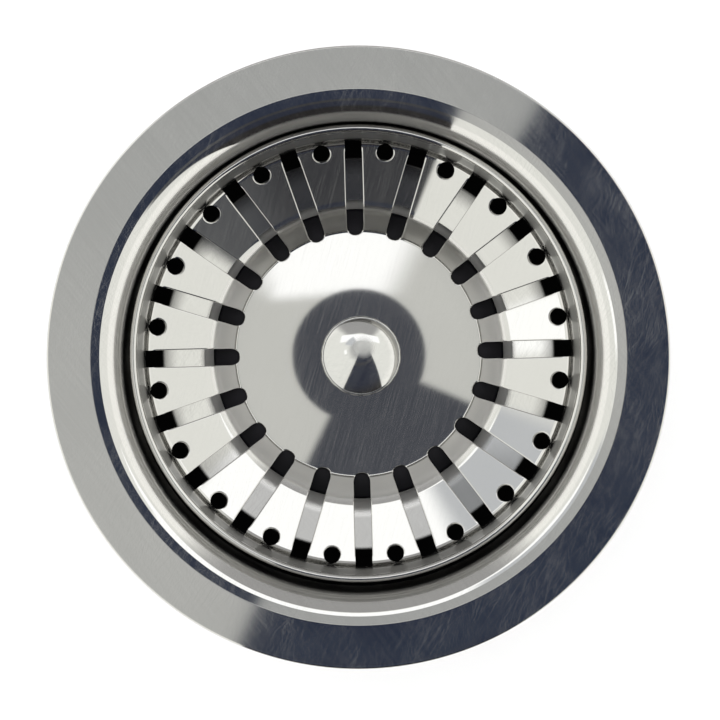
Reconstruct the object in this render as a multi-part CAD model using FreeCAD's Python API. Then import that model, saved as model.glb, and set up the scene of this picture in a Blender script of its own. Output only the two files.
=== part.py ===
import FreeCAD
import Part
import math
import os

# Basket strainer waste, millimetres. The axis of the waste is Z.
# Height zero is the end of the threaded outlet and the sink deck is near the top.

# Flange and bowl, one stainless pressing
sink_hole_diameter = 90.0
bowl_hole_clearance = 0.9
bowl_sheet = 0.8
flange_overhang = 11.5
flange_droop_angle = 1.5
flange_edge_radius = 1.2
flange_roll_radius = 5.4
flange_lip_height = 2.2
hub_height = 35.0
hub_hole_clearance = 0.3
bowl_corner_radius = 6.0
bowl_floor_angle = 12.0
seat_margin = -1.4
seat_bend_radius = 2.0
seat_width = 3.4
sump_lip_radius = 1.6
sump_draft = 1.2
sump_corner_radius = 2.0
sump_land = 1.8
window_count = 4
spoke_width = 5.0
window_corner_radius = 1.2

# Seals that clamp the sink deck
deck_gap = 6.0
flange_seal_thickness = 2.5
flange_seal_inset = 1.0
body_seal_thickness = 3.0
body_seal_width = 6.8
body_seal_round = 0.5

# Outlet body, one plastic moulding
body_wall = 2.2
body_play = 1.3
clamp_rim_width = 7.6
clamp_rim_thickness = 4.0
body_corner_radius = 6.0
body_neck_radius = 3.0
body_floor_drop = 2.0
body_neck_height = 24.0
outlet_bore_diameter = 39.0
thread_diameter = 47.8
thread_length = 18.0
thread_chamfer = 1.2
shoulder_step = 1.6
shoulder_height = 2.6
boss_wall = 2.0
boss_height = 13.7
tightening_reserve = 0.5
web_count = 4
web_thickness = 2.6
web_below_boss = 3.0
web_above_neck = 1.5
rib_count = 8
rib_thickness = 2.2
rib_depth = 2.4

# Hollow centre screw, its washer and the threaded insert
screw_diameter = 12.0
screw_bore_diameter = 9.0
screw_head_diameter = 18.0
screw_head_height = 3.5
screw_head_chamfer = 0.6
screw_length = 22.0
screw_bore_end = 2.5
driver_slot_width = 2.4
driver_slot_depth = 1.8
screw_washer_thickness = 1.0
washer_margin = 0.5
insert_wall = 1.5
insert_length = 11.7
insert_groove_depth = 0.6
insert_groove_width = 2.0
thread_fit = 0.05

# Lift-out basket, one stainless pressing
basket_sheet = 0.6
rim_gap = 1.25
rim_hem_gap = 0.2
rim_hem_height = 3.4
rim_depth = 8.0
wall_lean = 0.55
wall_depth = 20.4
wall_base_radius = 1.2
shelf_angle = 11.6
shelf_inner_radius = 27.1
shelf_bend_radius = 1.4
well_depth = 7.5
well_run = 3.5
well_crease_radius = 0.5
crown_angle = 2.0
crown_bend_share = 0.96
slot_count = 20
slot_width = 3.2
slot_inner_radius = 22.85
slot_rise = 1.5
slot_start_angle = 1.5
hole_diameter = 3.2
hole_inset = 1.75

# Knob and stem of the basket
knob_diameter = 15.0
knob_dome_radius = 15.0
knob_edge = 1.2
knob_edge_round = 0.35
knob_ring_width = 0.5
knob_ring_step = 0.15
knob_reach = 10.2
knob_under_rise = 1.2
knob_neck_radius = 4.0
knob_neck_fillet = 1.6
knob_foot_radius = 6.2
knob_foot_height = 1.6
stem_diameter = 5.0
stem_engagement = 10.6
stem_end_length = 2.0
stem_end_chamfer = 0.7
stem_fit = 0.05

# Stopper under the basket and what holds it
stopper_radius = 27.8
stopper_thickness = 3.0
stopper_edge_round = 0.6
stopper_lip_depth = 3.0
stopper_lip_width = 1.6
stopper_lip_inset = 2.6
seat_gap = 0.3
plate_radius = 16.0
plate_thickness = 1.0
lock_washer_width = 2.0
lock_washer_thickness = 1.0
lock_washer_slit = 0.8
nut_across_flats = 8.0
nut_height = 2.7
nut_to_screw_gap = 1.1

# Catch sleeve that holds the raised basket in the hollow screw
catch_radius = 3.5
catch_length = 12.0
catch_neck_depth = 0.5
catch_end_taper = 0.7
catch_bulge_share = 0.4
catch_slit = 0.9
catch_drop = 7.0
catch_play = 0.3
touch_gap = 0.02

# Radii and heights that follow from the sizes above
axis_base = FreeCAD.Vector(0, 0, 0)
axis_up = FreeCAD.Vector(0, 0, 1)
throat_radius = sink_hole_diameter / 2 - bowl_hole_clearance - bowl_sheet
flange_radius = sink_hole_diameter / 2 + flange_overhang
bowl_outer_radius = throat_radius + bowl_sheet
screw_radius = screw_diameter / 2
screw_bore_radius = screw_bore_diameter / 2
screw_head_radius = screw_head_diameter / 2
stem_radius = stem_diameter / 2
thread_radius = thread_diameter / 2
outlet_radius = outlet_bore_diameter / 2
rim_radius = throat_radius - rim_gap
wall_top_radius = rim_radius - 2 * basket_sheet - rim_hem_gap
wall_base_corner = wall_top_radius - wall_lean
hole_ring_radius = wall_base_corner - hole_inset
crease_radius = shelf_inner_radius - well_run
seat_outer_radius = stopper_radius + seat_margin
seat_inner_radius = seat_outer_radius - seat_width
sump_radius = seat_inner_radius - sump_draft
hub_radius = screw_head_radius + washer_margin
window_outer_radius = sump_radius - sump_land

screw_seat_height = hub_height + screw_washer_thickness
screw_head_top = screw_seat_height + screw_head_height
nut_bottom = screw_head_top + nut_to_screw_gap
nut_top = nut_bottom + nut_height
plate_bottom = nut_top + lock_washer_thickness
stopper_bottom = plate_bottom + plate_thickness
stopper_top = stopper_bottom + stopper_thickness
seat_height = stopper_bottom - stopper_lip_depth - seat_gap
crease_height = stopper_top + basket_sheet + touch_gap
shelf_bend_height = crease_height + well_depth
shelf_rise = (wall_base_corner - shelf_inner_radius) * math.tan(math.radians(shelf_angle))
wall_base_height = shelf_bend_height + shelf_rise
rim_height = wall_base_height + wall_depth
flange_height = rim_height + rim_depth
crown_corner_radius = crease_radius / 2
crown_height = crease_height + (crease_radius - crown_corner_radius) * math.tan(math.radians(crown_angle))

droop = math.tan(math.radians(flange_droop_angle))
flange_flat_start = throat_radius + flange_roll_radius
deck_height = flange_height - bowl_sheet - flange_seal_thickness
deck_under = deck_height - deck_gap
clamp_height = deck_under - body_seal_thickness
body_inner_radius = bowl_outer_radius + body_play
clamp_radius = body_inner_radius + clamp_rim_width
body_floor_height = seat_height - body_floor_drop
boss_radius = screw_radius + thread_fit + insert_wall + boss_wall
boss_top = hub_height - bowl_sheet - deck_gap + tightening_reserve
boss_bottom = boss_top - boss_height
screw_end = screw_seat_height - screw_length
catch_top = screw_head_top - catch_drop + screw_bore_end
catch_bottom = catch_top - catch_length
stem_bottom = catch_bottom - stem_end_length
knob_under = crown_height + knob_reach
stem_top = crown_height + stem_engagement

# The loose basket leans to the +Y side until its catch sleeve is by the wall of the screw bore.
basket_lean = screw_bore_radius - catch_radius - catch_play


def point(radius, height):
    return FreeCAD.Vector(radius, 0, height)


def rounded_corner(before, corner, after, bend, side):
    """Start, middle and end of the bend at a corner, all moved to the left of the path by side."""
    way_in = (corner - before).normalize()
    way_out = (after - corner).normalize()
    left_in = FreeCAD.Vector(-way_in.z, 0, way_in.x)
    left_out = FreeCAD.Vector(-way_out.z, 0, way_out.x)
    turn = way_in.x * way_out.z - way_in.z * way_out.x
    angle = math.atan2(turn, way_in.dot(way_out))
    setback = bend * math.tan(abs(angle) / 2)
    hand = math.copysign(1, angle)
    start = corner - way_in * setback
    end = corner + way_out * setback
    centre = start + left_in * (bend * hand)
    outward = (corner - centre).normalize()
    middle = centre + outward * (bend - hand * side)
    return start + left_in * side, middle, end + left_out * side


def path_edges(corners, side):
    """Lines and arcs along an open path of (radius, height, bend), moved to its left by side."""
    spots = [point(radius, height) for radius, height, bend in corners]
    first_way = (spots[1] - spots[0]).normalize()
    last_way = (spots[-1] - spots[-2]).normalize()
    here = spots[0] + FreeCAD.Vector(-first_way.z, 0, first_way.x) * side
    edges = []
    for index in range(1, len(corners) - 1):
        bend = corners[index][2]
        before, corner, after = spots[index - 1:index + 2]
        start, middle, end = rounded_corner(before, corner, after, bend, side)
        edges.append(Part.makeLine(here, start))
        edges.append(Part.Arc(start, middle, end).toShape())
        here = end
    finish = spots[-1] + FreeCAD.Vector(-last_way.z, 0, last_way.x) * side
    edges.append(Part.makeLine(here, finish))
    return edges


def pressed_sheet(corners, thickness):
    """Sheet turned round the axis; the path is its upper face and the metal lies to the left."""
    upper = path_edges(corners, 0)
    lower = path_edges(corners, thickness)
    start_cap = Part.makeLine(upper[0].Vertexes[0].Point, lower[0].Vertexes[0].Point)
    end_cap = Part.makeLine(upper[-1].Vertexes[-1].Point, lower[-1].Vertexes[-1].Point)
    loop = Part.Wire(Part.__sortEdges__(upper + lower + [start_cap, end_cap]))
    return Part.Face(loop).revolve(axis_base, axis_up, 360)


def turned(corners):
    """Solid turned round the axis from a closed outline of (radius, height, bend)."""
    spots = [point(radius, height) for radius, height, bend in corners]
    count = len(corners)
    joints = []
    for index in range(count):
        bend = corners[index][2]
        before = spots[index - 1]
        after = spots[(index + 1) % count]
        if bend > 0:
            joints.append(rounded_corner(before, spots[index], after, bend, 0))
        else:
            joints.append((spots[index], None, spots[index]))
    edges = []
    for index in range(count):
        start, middle, end = joints[index]
        if middle is not None:
            edges.append(Part.Arc(start, middle, end).toShape())
        edges.append(Part.makeLine(end, joints[(index + 1) % count][0]))
    loop = Part.Wire(Part.__sortEdges__(edges))
    return Part.Face(loop).revolve(axis_base, axis_up, 360)


def ring(inner, outer, bottom, top):
    return turned([(inner, bottom, 0), (outer, bottom, 0), (outer, top, 0), (inner, top, 0)])


def round_bar(radius, bottom, top):
    return Part.makeCylinder(radius, top - bottom, FreeCAD.Vector(0, 0, bottom))


def plate_on_axis(length, width, bottom, top):
    """Upright plate from the axis along +X."""
    return Part.makeBox(length, width, top - bottom, FreeCAD.Vector(0, -width / 2, bottom))


def repeated(shape, count, start_angle):
    """Copies of a shape spaced evenly round the axis."""
    copies = []
    for index in range(count):
        turned_copy = shape.copy()
        turned_copy.rotate(axis_base, axis_up, start_angle + index * 360 / count)
        copies.append(turned_copy)
    return copies


def flange_face(radius):
    """Height of the drooping upper face of the flange."""
    return flange_height - (radius - flange_flat_start) * droop


def make_waste_bowl():
    floor_rise = (throat_radius - seat_outer_radius) * math.tan(math.radians(bowl_floor_angle))
    upper_face = [
        (flange_radius, flange_face(flange_radius) - flange_lip_height, 0),
        (flange_radius, flange_face(flange_radius), flange_edge_radius),
        (throat_radius, flange_face(throat_radius), flange_roll_radius),
        (throat_radius, seat_height + floor_rise, bowl_corner_radius),
        (seat_outer_radius, seat_height, seat_bend_radius),
        (seat_inner_radius, seat_height, sump_lip_radius),
        (sump_radius, hub_height, sump_corner_radius),
        (screw_radius + hub_hole_clearance, hub_height, 0),
    ]
    bowl = pressed_sheet(upper_face, bowl_sheet)
    window_bottom = hub_height - 2 * bowl_sheet
    window_top = hub_height + bowl_sheet
    opening = ring(hub_radius, window_outer_radius, window_bottom, window_top)
    spoke = plate_on_axis(sump_radius, spoke_width, window_bottom, window_top)
    openings = opening.cut(repeated(spoke, window_count, 0))
    upright = [edge for edge in openings.Edges if abs(edge.tangentAt(edge.FirstParameter).z) > 0.5]
    return bowl.cut(openings.makeFillet(window_corner_radius, upright))


def make_flange_seal():
    inner = flange_flat_start + touch_gap
    outer = flange_radius - bowl_sheet - flange_seal_inset
    under = bowl_sheet / math.cos(math.radians(flange_droop_angle)) + touch_gap
    return turned([
        (inner, deck_height, 0),
        (outer, deck_height, 0),
        (outer, flange_face(outer) - under, 0),
        (inner, flange_face(inner) - under, 0),
    ])


def make_body_seal():
    inner = body_inner_radius
    outer = body_inner_radius + body_seal_width
    return turned([
        (inner, clamp_height, 0),
        (outer, clamp_height, 0),
        (outer, deck_under, body_seal_round),
        (inner, deck_under, body_seal_round),
    ])


def body_inner_face():
    """Path down the inside of the outlet body, from the clamp rim to the outlet end."""
    return [
        (body_inner_radius, clamp_height, 0),
        (body_inner_radius, body_floor_height, body_corner_radius),
        (outlet_radius, body_neck_height, body_neck_radius),
        (outlet_radius, 0, 0),
    ]


def make_body_ribs():
    """Upright ribs under the clamp rim, down the cup and along the funnel to the outlet."""
    wall_outside = body_inner_radius + body_wall
    rim_middle = clamp_height - clamp_rim_thickness / 2
    rim_under = clamp_height - clamp_rim_thickness
    shoulder_middle = thread_length + shoulder_height / 2
    outline = [
        point(outlet_radius, rim_middle),
        point(clamp_radius - rib_depth, rim_middle),
        point(clamp_radius - rib_depth, rim_under),
        point(wall_outside + rib_depth, rim_under - clamp_rim_width),
        point(wall_outside + rib_depth, body_floor_height - body_wall),
        point(thread_radius, shoulder_middle),
        point(outlet_radius, shoulder_middle),
    ]
    face = Part.Face(Part.makePolygon(outline + [outline[0]]))
    rib = face.extrude(FreeCAD.Vector(0, rib_thickness, 0))
    rib.translate(FreeCAD.Vector(0, -rib_thickness / 2, 0))
    inside = turned(body_inner_face() + [(0, 0, 0), (0, clamp_height, 0)])
    return repeated(rib.cut(inside), rib_count, 180 / rib_count)


def make_outlet_body():
    shell = pressed_sheet(body_inner_face(), body_wall)
    clamp_rim = ring(body_inner_radius, clamp_radius, clamp_height - clamp_rim_thickness, clamp_height)
    collar = turned([
        (outlet_radius, 0, 0),
        (thread_radius - thread_chamfer, 0, 0),
        (thread_radius, thread_chamfer, 0),
        (thread_radius, thread_length, 0),
        (thread_radius + shoulder_step, thread_length, 0),
        (thread_radius + shoulder_step, thread_length + shoulder_height, 0),
        (outlet_radius, thread_length + shoulder_height, 0),
    ])
    web_bottom = boss_bottom - web_below_boss
    web_top = body_neck_height + web_above_neck
    web = plate_on_axis(outlet_radius + body_wall / 2, web_thickness, web_bottom, web_top)
    boss = round_bar(boss_radius, boss_bottom, boss_top)
    body = shell.multiFuse([clamp_rim, collar, boss] + repeated(web, web_count, 0) + make_body_ribs())
    insert_room = round_bar(boss_radius - boss_wall, boss_top - insert_length, boss_top)
    screw_room = round_bar(screw_radius + hub_hole_clearance, web_bottom, boss_top)
    return body.cut([insert_room, screw_room]).removeSplitter()


def make_threaded_insert():
    bore = screw_radius + thread_fit
    outer = boss_radius - boss_wall
    bottom = boss_top - insert_length
    waist = outer - insert_groove_depth
    middle = (bottom + boss_top) / 2
    return turned([
        (bore, bottom, 0),
        (outer, bottom, 0),
        (outer, middle - insert_groove_width / 2, 0),
        (waist, middle - insert_groove_width / 2, 0),
        (waist, middle + insert_groove_width / 2, 0),
        (outer, middle + insert_groove_width / 2, 0),
        (outer, boss_top, 0),
        (bore, boss_top, 0),
    ])


def make_centre_screw():
    body = turned([
        (screw_bore_radius, screw_end + screw_bore_end, 0),
        (screw_bore_radius, screw_head_top, 0),
        (screw_head_radius, screw_head_top, screw_head_chamfer),
        (screw_head_radius, screw_seat_height, 0),
        (screw_radius, screw_seat_height, 0),
        (screw_radius, screw_end, screw_head_chamfer),
        (0, screw_end, 0),
        (0, screw_end + screw_bore_end, 0),
    ])
    slot_floor = screw_head_top - driver_slot_depth
    slot = plate_on_axis(screw_head_diameter, driver_slot_width, slot_floor, nut_top)
    return body.cut(repeated(slot, 2, 0))


def make_screw_washer():
    inner = screw_radius + hub_hole_clearance
    outer = screw_head_radius + washer_margin / 2
    return ring(inner, outer, hub_height, screw_seat_height)


def make_basket():
    tilt = math.radians(crown_angle)
    hole_edge = stem_radius + stem_fit
    crown_bend = (crown_corner_radius - hole_edge) * crown_bend_share / math.tan(tilt / 2)
    hem_radius = (rim_radius - wall_top_radius) / 2 - touch_gap
    upper_face = [
        (rim_radius, rim_height - rim_hem_height, 0),
        (rim_radius, rim_height, hem_radius),
        (wall_top_radius, rim_height, hem_radius),
        (wall_base_corner, wall_base_height, wall_base_radius),
        (shelf_inner_radius, shelf_bend_height, shelf_bend_radius),
        (crease_radius, crease_height, well_crease_radius),
        (crown_corner_radius, crown_height, crown_bend),
        (hole_edge, crown_height, 0),
    ]
    shell = pressed_sheet(upper_face, basket_sheet)
    cut_bottom = crease_height - well_depth
    cut_top = wall_base_height + slot_rise
    slot_centre = slot_inner_radius + slot_width / 2
    slot_end = round_bar(slot_width / 2, cut_bottom, cut_top)
    slot = plate_on_axis(rim_radius - slot_centre, slot_width, cut_bottom, cut_top).fuse(slot_end)
    slot.translate(FreeCAD.Vector(slot_centre, 0, 0))
    hole = round_bar(hole_diameter / 2, cut_bottom, cut_top)
    hole.translate(FreeCAD.Vector(hole_ring_radius, 0, 0))
    slots = repeated(slot.removeSplitter(), slot_count, slot_start_angle)
    holes = repeated(hole, slot_count, slot_start_angle + 180 / slot_count)
    return shell.cut(slots + holes)


def make_knob():
    radius = knob_diameter / 2
    dome_edge = radius - knob_ring_width
    rise = knob_dome_radius - math.sqrt(knob_dome_radius ** 2 - dome_edge ** 2)
    ring_height = knob_under + knob_under_rise + knob_edge
    dome_height = ring_height + knob_ring_step
    foot_top = crown_height + knob_foot_height
    hole = stem_radius + stem_fit
    lower = turned([
        (hole, crown_height, 0),
        (knob_foot_radius, crown_height, 0),
        (knob_foot_radius, foot_top, knob_edge_round),
        (knob_neck_radius, foot_top, knob_neck_fillet / 2),
        (knob_neck_radius, knob_under, knob_neck_fillet),
        (radius, knob_under + knob_under_rise, knob_edge_round),
        (radius, ring_height, knob_edge_round),
        (dome_edge, ring_height, 0),
        (0, ring_height, 0),
        (0, stem_top, 0),
        (hole, stem_top, 0),
    ])
    edge = point(dome_edge, dome_height)
    crest = point(0, dome_height + rise)
    centre_height = dome_height + rise - knob_dome_radius
    half_way = math.asin(dome_edge / knob_dome_radius) / 2
    between_radius = knob_dome_radius * math.sin(half_way)
    between = point(between_radius, centre_height + knob_dome_radius * math.cos(half_way))
    foot = point(dome_edge, ring_height)
    centre = point(0, ring_height)
    loop = Part.Wire([
        Part.makeLine(centre, foot),
        Part.makeLine(foot, edge),
        Part.Arc(edge, between, crest).toShape(),
        Part.makeLine(crest, centre),
    ])
    dome = Part.Face(loop).revolve(axis_base, axis_up, 360)
    return lower.fuse(dome).removeSplitter()


def make_stem():
    neck = stem_radius - catch_neck_depth
    return turned([
        (0, stem_bottom, 0),
        (stem_radius - stem_end_chamfer, stem_bottom, 0),
        (stem_radius, stem_bottom + stem_end_chamfer, 0),
        (stem_radius, catch_bottom - touch_gap, 0),
        (neck, catch_bottom - touch_gap, 0),
        (neck, catch_top + touch_gap, 0),
        (stem_radius, catch_top + touch_gap, 0),
        (stem_radius, stem_top, 0),
        (0, stem_top, 0),
    ])


def make_stopper_seal():
    lip_outer = stopper_radius - stopper_lip_inset
    lip_inner = lip_outer - stopper_lip_width
    lip_bottom = stopper_bottom - stopper_lip_depth
    return turned([
        (stem_radius + stem_fit, stopper_bottom, 0),
        (lip_inner, stopper_bottom, 0),
        (lip_inner, lip_bottom, 0),
        (lip_outer, lip_bottom, stopper_edge_round / 2),
        (lip_outer, stopper_bottom, 0),
        (stopper_radius, stopper_bottom, stopper_edge_round),
        (stopper_radius, stopper_top, stopper_edge_round),
        (stem_radius + stem_fit, stopper_top, 0),
    ])


def make_seal_plate():
    return ring(stem_radius + stem_fit, plate_radius, plate_bottom, stopper_bottom)


def make_lock_washer():
    washer = ring(stem_radius + stem_fit, stem_radius + lock_washer_width, nut_top, plate_bottom)
    slit = plate_on_axis(plate_radius, lock_washer_slit, nut_bottom, stopper_bottom)
    return washer.cut(slit)


def make_stem_nut():
    corner_radius = nut_across_flats / math.sqrt(3)
    corners = []
    for index in range(7):
        angle = math.radians(index * 60)
        across = corner_radius * math.cos(angle)
        along = corner_radius * math.sin(angle)
        corners.append(FreeCAD.Vector(across, along, nut_bottom))
    block = Part.Face(Part.makePolygon(corners)).extrude(FreeCAD.Vector(0, 0, nut_height))
    return block.cut(round_bar(stem_radius + stem_fit, nut_bottom, nut_top))


def make_catch_sleeve():
    bore = stem_radius - catch_neck_depth + stem_fit
    end_radius = catch_radius - catch_end_taper
    bulge = catch_length * catch_bulge_share / 2
    middle = (catch_bottom + catch_top) / 2
    sleeve = turned([
        (bore, catch_bottom, 0),
        (end_radius, catch_bottom, 0),
        (catch_radius, middle - bulge, bulge),
        (catch_radius, middle + bulge, bulge),
        (end_radius, catch_top, 0),
        (bore, catch_top, 0),
    ])
    slit_top = catch_top + stem_end_length
    slit = plate_on_axis(screw_radius, catch_slit, stem_bottom, slit_top)
    return sleeve.cut(slit)


waste_pieces = {
    "waste_bowl": make_waste_bowl(),
    "flange_seal": make_flange_seal(),
    "body_seal": make_body_seal(),
    "outlet_body": make_outlet_body(),
    "threaded_insert": make_threaded_insert(),
    "centre_screw": make_centre_screw(),
    "screw_washer": make_screw_washer(),
}
basket_pieces = {
    "basket": make_basket(),
    "knob": make_knob(),
    "stem": make_stem(),
    "stopper_seal": make_stopper_seal(),
    "seal_plate": make_seal_plate(),
    "lock_washer": make_lock_washer(),
    "stem_nut": make_stem_nut(),
    "catch_sleeve": make_catch_sleeve(),
}

os.makedirs("parts", exist_ok=True)
for name, shape in waste_pieces.items():
    shape.exportStep("parts/" + name + ".step")
for name, shape in basket_pieces.items():
    shape.translate(FreeCAD.Vector(0, basket_lean, 0))
    shape.exportStep("parts/" + name + ".step")
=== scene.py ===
# %% [markdown]
# # A basket strainer waste
#
# The waste of a kitchen sink is mostly round. A steel flange rolls over into a deep bowl, and a pressed
# basket with slots hangs loose in that bowl. Under the basket sits a black rubber stopper, and under the
# bowl a white plastic body carries the water to a threaded outlet.
#
# The solids of every piece come from the packed frame. This file gives the bright pressings smooth skins that
# mirror their surroundings well, cuts the outlet's thread, and gives every piece its material.

# %% load the packed frame
import math

import bpy
import numpy as np
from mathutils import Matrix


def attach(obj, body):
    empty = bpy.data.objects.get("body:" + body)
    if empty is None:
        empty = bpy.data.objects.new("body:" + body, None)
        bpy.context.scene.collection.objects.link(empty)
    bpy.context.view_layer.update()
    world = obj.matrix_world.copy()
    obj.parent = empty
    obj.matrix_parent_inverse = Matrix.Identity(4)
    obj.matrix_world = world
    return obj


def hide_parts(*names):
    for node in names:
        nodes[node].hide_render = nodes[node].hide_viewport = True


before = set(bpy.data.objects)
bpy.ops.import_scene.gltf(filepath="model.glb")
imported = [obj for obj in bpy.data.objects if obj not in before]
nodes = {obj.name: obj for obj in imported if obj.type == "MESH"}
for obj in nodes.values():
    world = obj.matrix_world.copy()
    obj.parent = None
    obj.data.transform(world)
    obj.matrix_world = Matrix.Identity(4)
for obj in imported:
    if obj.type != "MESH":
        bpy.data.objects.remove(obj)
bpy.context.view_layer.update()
print("nodes", sorted(nodes))

# %% [markdown]
# ## Sizes of the pressings
#
# A pressing is one sheet of steel bent along a path and turned round the axis. The path of the upper face
# is a list of corners, each a radius, a height and the radius of its bend. The sizes are those of the
# solids, in millimetres, so the skins lie on them. Only the edge of the flange is a little sharper, its roll
# has two flat steps, and the bend at the foot of the shelf is a little rounder.

# %% sizes
MM = 0.001
BASKET_LEAN = 0.7
BOWL_SHEET = 0.8
BASKET_SHEET = 0.6
THROAT = 43.3
FLANGE = 56.49
FLANGE_TOP = 87.4885
FLANGE_ROLL = 5.4
DROOP = math.tan(math.radians(1.5))
SEAT, SEAT_OUTER, SEAT_INNER = 42.0, 26.4, 23.0
HUB, SUMP = 35.0, 21.8
RIM, RIM_TOP, HEM = 42.05, 79.4885, 0.68
WALL_TOP, WALL_BASE, WALL_FOOT = 40.65, 40.1, 59.0885
SHELF_BEND, SHELF_BEND_TOP = 27.1, 56.42
CREASE, DISC = 23.6, 48.92
SLOTS, SLOT_WIDTH, SLOT_INNER, SLOT_START = 20, 3.2, 22.85, 1.5
HOLE_RING, HOLE = 38.35, 1.6
EDGE_ROLL, EDGE_DROP = 0.26, 0.09
LIP_DEPTH, HEM_DEPTH = 2.2, 3.4
SUMP_FLOOR, STEM_HOLE = 20.1, 2.55
DISH_START, ROLL_START = 48.55, 46.9
DISH_SLOPE = math.tan(math.radians(7.5))
ROLL_SLOPE = math.tan(math.radians(12.5))
FLOOR_SLOPE = math.tan(math.radians(12))
DISC_SLOPE = math.tan(math.radians(2))
CROWNED = 0.96


def flange_face(radius):
    """Height of the flange's upper face, which droops a little towards its edge."""
    return FLANGE_TOP - (radius - THROAT - FLANGE_ROLL) * DROOP


dish_foot = flange_face(DISH_START) - (DISH_START - ROLL_START) * DISH_SLOPE
roll_foot = dish_foot - (ROLL_START - THROAT) * ROLL_SLOPE
bowl_corners = [
    (FLANGE, flange_face(FLANGE) - LIP_DEPTH, 0),
    (FLANGE, flange_face(FLANGE), 0.35),
    (DISH_START, flange_face(DISH_START), 1.0),
    (ROLL_START, dish_foot, 1.0),
    (THROAT, roll_foot, 4.1),
    (THROAT, SEAT + (THROAT - SEAT_OUTER) * FLOOR_SLOPE, 6.0),
    (SEAT_OUTER, SEAT, 2.0),
    (SEAT_INNER, SEAT, 1.6),
    (SUMP, HUB, 2.0),
    (SUMP_FLOOR, HUB, 0),
]
disc_middle = CREASE / 2
disc_top = DISC + (CREASE - disc_middle) * DISC_SLOPE
disc_crown = (disc_middle - STEM_HOLE) * CROWNED / math.tan(math.radians(1))
basket_corners = [
    (RIM, RIM_TOP - HEM_DEPTH, 0),
    (RIM, RIM_TOP, HEM),
    (WALL_TOP, RIM_TOP, HEM),
    (WALL_BASE, WALL_FOOT, 1.2),
    (SHELF_BEND, SHELF_BEND_TOP, 3.8),
    (CREASE, DISC, 0.5),
    (disc_middle, disc_top, disc_crown),
    (STEM_HOLE, disc_top, 0),
]
print("bowl corners", len(bowl_corners), "basket corners", len(basket_corners))

# %% [markdown]
# ## A path with bends
#
# The press leaves straight runs joined by round bends. The path is worked out once, very finely, and is then
# read at any distance along it. The direction away from the metal is kept with each point, because a mirror
# shows every wrong angle: the skins get these exact directions as their normals.

# %% paths
TINY, ZERO, ROW_GAP = 1e-6, 1e-9, 0.01


def running(steps):
    """Sums of the steps so far, from zero."""
    return np.concatenate([[0], np.cumsum(steps)])


def step_lengths(path):
    """Lengths of the steps between the points of a path."""
    return np.linalg.norm(np.diff(path[:, :2], axis=0), axis=1)


def spread(values, gap):
    """The values in order, without those that lie within a gap of the one before."""
    ordered = np.sort(values)
    return ordered[np.concatenate([[True], np.diff(ordered) > gap])]


def bent_path(corners, turn_step=2.0, run_step=0.25):
    """Straight runs and circular bends through the corners. A bend of radius b at a corner that turns by
    angle a starts b times tan(a/2) before the corner; its points are the centre plus b times the turned
    start direction. Gives columns of radius, height and the two parts of the normal on the right of the
    path."""
    spots = np.array([c[:2] for c in corners], float)
    rows = []
    here = spots[0]
    for k in range(1, len(spots)):
        way_in = (spots[k] - spots[k - 1]) / np.linalg.norm(spots[k] - spots[k - 1])
        right_in = np.array([way_in[1], -way_in[0]])
        start, arc = spots[k], None
        if k < len(spots) - 1:
            way_out = (spots[k + 1] - spots[k]) / np.linalg.norm(spots[k + 1] - spots[k])
            turn = math.atan2(way_in[0] * way_out[1] - way_in[1] * way_out[0], way_in @ way_out)
            bend = corners[k][2]
            start = spots[k] - way_in * bend * math.tan(abs(turn) / 2)
            hand = math.copysign(1, turn)
            centre = start - right_in * bend * hand
            angles = np.linspace(0, turn, max(4, int(abs(math.degrees(turn)) / turn_step) + 2))
            cos, sin = np.cos(angles), np.sin(angles)
            rights = np.stack([right_in[0] * cos - right_in[1] * sin,
                               right_in[0] * sin + right_in[1] * cos], 1)
            arc = np.hstack([centre + rights * bend * hand, rights])
        steps = max(2, int(np.linalg.norm(start - here) / run_step) + 2)
        share = np.linspace(0, 1, steps)[:, None]
        rows.append(np.hstack([here + (start - here) * share, np.tile(right_in, (steps, 1))]))
        if arc is not None:
            rows.append(arc)
            here = arc[-1, :2]
    path = np.vstack(rows)
    return path[np.concatenate([[True], step_lengths(path) > TINY])]


def read_path(path, distances):
    """Radius, height and normal at the given distances along a path, by straight interpolation."""
    along = running(step_lengths(path))
    values = np.stack([np.interp(distances, along, path[:, k]) for k in range(4)], 1)
    values[:, 2:] /= np.linalg.norm(values[:, 2:], axis=1)[:, None]
    return values


def distances_by_turn(path, turn_step, run_step):
    """Distances along a path at which it has turned by turn_step degrees or run by run_step millimetres,
    and the distances at which a bend starts or ends."""
    lengths = step_lengths(path)
    turns = np.abs(np.diff(np.unwrap(np.arctan2(path[:, 3], path[:, 2]))))
    total = running(turns / math.radians(turn_step) + lengths / run_step)
    along = running(lengths)
    turning = turns > ZERO
    changes = along[1:-1][turning[1:] != turning[:-1]]
    even = np.interp(np.linspace(0, total[-1], int(total[-1]) + 2), total, along)
    return spread(np.concatenate([even, changes]), ROW_GAP)


print("path of the bowl has", len(bent_path(bowl_corners)), "points")

# %% [markdown]
# ## Skins
#
# A skin is one mesh made of grids of points. Its faces look along the normals that come with the points, and
# flat faces of a solid can be taken over as they are.

# %% skins
WELD, PLAY = 2e-7, 0.01
BOWL_COLUMNS, KNOB_COLUMNS, THREAD_COLUMNS = 240, 120, 144
DOME_ROWS, THREAD_ROWS = 24, 110


def quads_of_grid(rows, columns):
    """Corner numbers of the faces of a grid of points, row by row."""
    first = np.arange((rows - 1) * (columns - 1))
    first = first // (columns - 1) * columns + first % (columns - 1)
    return np.stack([first, first + 1, first + columns + 1, first + columns], 1)


def in_threes(items, key, kind):
    """The three values that every item has under a key, as rows."""
    values = np.zeros(len(items) * 3, kind)
    items.foreach_get(key, values)
    return values.reshape(-1, 3)


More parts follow.
